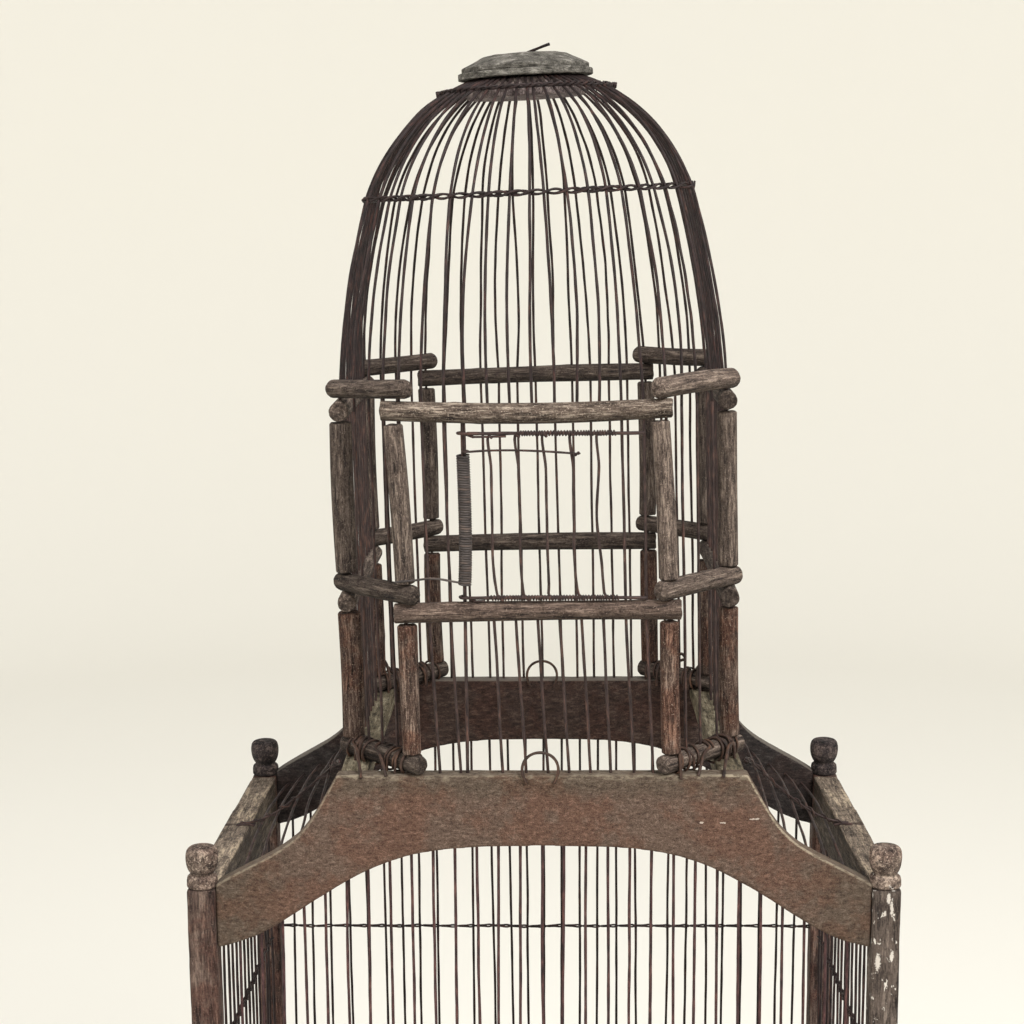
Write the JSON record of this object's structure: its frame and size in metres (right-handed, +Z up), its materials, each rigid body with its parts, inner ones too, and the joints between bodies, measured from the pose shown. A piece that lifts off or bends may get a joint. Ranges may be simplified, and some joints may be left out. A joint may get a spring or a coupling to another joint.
{
  "type": "bird cage on stand",
  "caption": "Wood and wire bird cage: box body with shaped boards, stick-built octagonal tower, wire dome, spring door and pull-out tray, on a slatted stand.",
  "frame": {"origin": "on the floor, under the middle of the stand", "axes": "+Z up, the front with the tower door faces -Y, +X to the viewer's right"},
  "size_m": [0.51, 0.31, 1.3036],
  "materials": {
    "stand_wood": "worn, dull",
    "post_wood": "worn, dull",
    "finial_wood": "worn, dull",
    "board_wood": "worn, dull",
    "dark_board_wood": "worn, dull",
    "rail_wood": "worn, dull",
    "base_wood": "worn, dull",
    "stick_wood": "bare, weathered",
    "cap_wood": "weathered",
    "dark_wire": "rusty",
    "brown_wire": "rusty",
    "spring_wire": "rusty",
    "rusty_wire": "rusty"
  },
  "bodies": {
    "cage": {"base_diagonals": "stick_wood", "base_rail_front": "base_wood", "base_rail_rear": "base_wood", "base_rails_side": "base_wood", "board_loops": "rusty_wire", "body_wires_front": "dark_wire", "body_wires_rear": "dark_wire", "cap_base": "cap_wood", "cap_top": "cap_wood", "cap_wire": "rusty_wire", "corner_post_front_left": "post_wood", "corner_post_front_right": "post_wood", "corner_post_rear_left": "post_wood", "corner_post_rear_right": "post_wood", "corner_wires": "dark_wire", "dome_ribs_lower": "dark_wire", "dome_ribs_upper": "dark_wire", "dome_ring": "brown_wire", "door_spring": "spring_wire", "finial_front_left": "finial_wood", "finial_front_right": "finial_wood", "finial_rear_left": "finial_wood", "finial_rear_right": "finial_wood", "floor_board": "base_wood", "front_board": "board_wood", "hinge_wire": "brown_wire", "hub": "cap_wood", "hub_hoop": "rusty_wire", "lashings": "rusty_wire", "lower_posts": "stick_wood", "mid_diagonals": "stick_wood", "mid_log_front": "stick_wood", "mid_log_left": "stick_wood", "mid_log_rear": "stick_wood", "mid_log_right": "stick_wood", "panel_bindings": "dark_wire", "rear_board": "dark_board_wood", "roof_wires": "dark_wire", "shelf_slats": "stand_wood", "shoulder_ties": "rusty_wire", "side_rail_left": "rail_wood", "side_rail_right": "rail_wood", "side_wires": "dark_wire", "stand_legs": "stand_wood", "stand_rails": "stand_wood", "stand_top": "stand_wood", "top_diagonals": "stick_wood", "top_log_front": "stick_wood", "top_log_left": "stick_wood", "top_log_rear": "stick_wood", "top_log_right": "stick_wood", "tower_sill_left": "rail_wood", "tower_sill_right": "rail_wood", "tower_wires": "dark_wire", "upper_posts": "stick_wood"},
    "tower_door": {"door_bars": "brown_wire", "door_wires": "brown_wire", "spring_arm": "spring_wire"},
    "tray": {"tray": "base_wood", "tray_knob": "finial_wood"}
  },
  "joints": [
    {"name": "tower_door_hinge", "type": "hinge", "parent": "cage", "child": "tower_door", "pos_m": [-0.04982, -0.129, 0.99108], "axis": [0.0032, 0, -1], "range_deg": [0, 100], "stiffness_Nm_per_rad": 0.004},
    {"name": "tray_slide", "type": "slide", "parent": "cage", "child": "tray", "axis": [0, -1, 0], "range_m": [0, 0.2]}
  ]
}
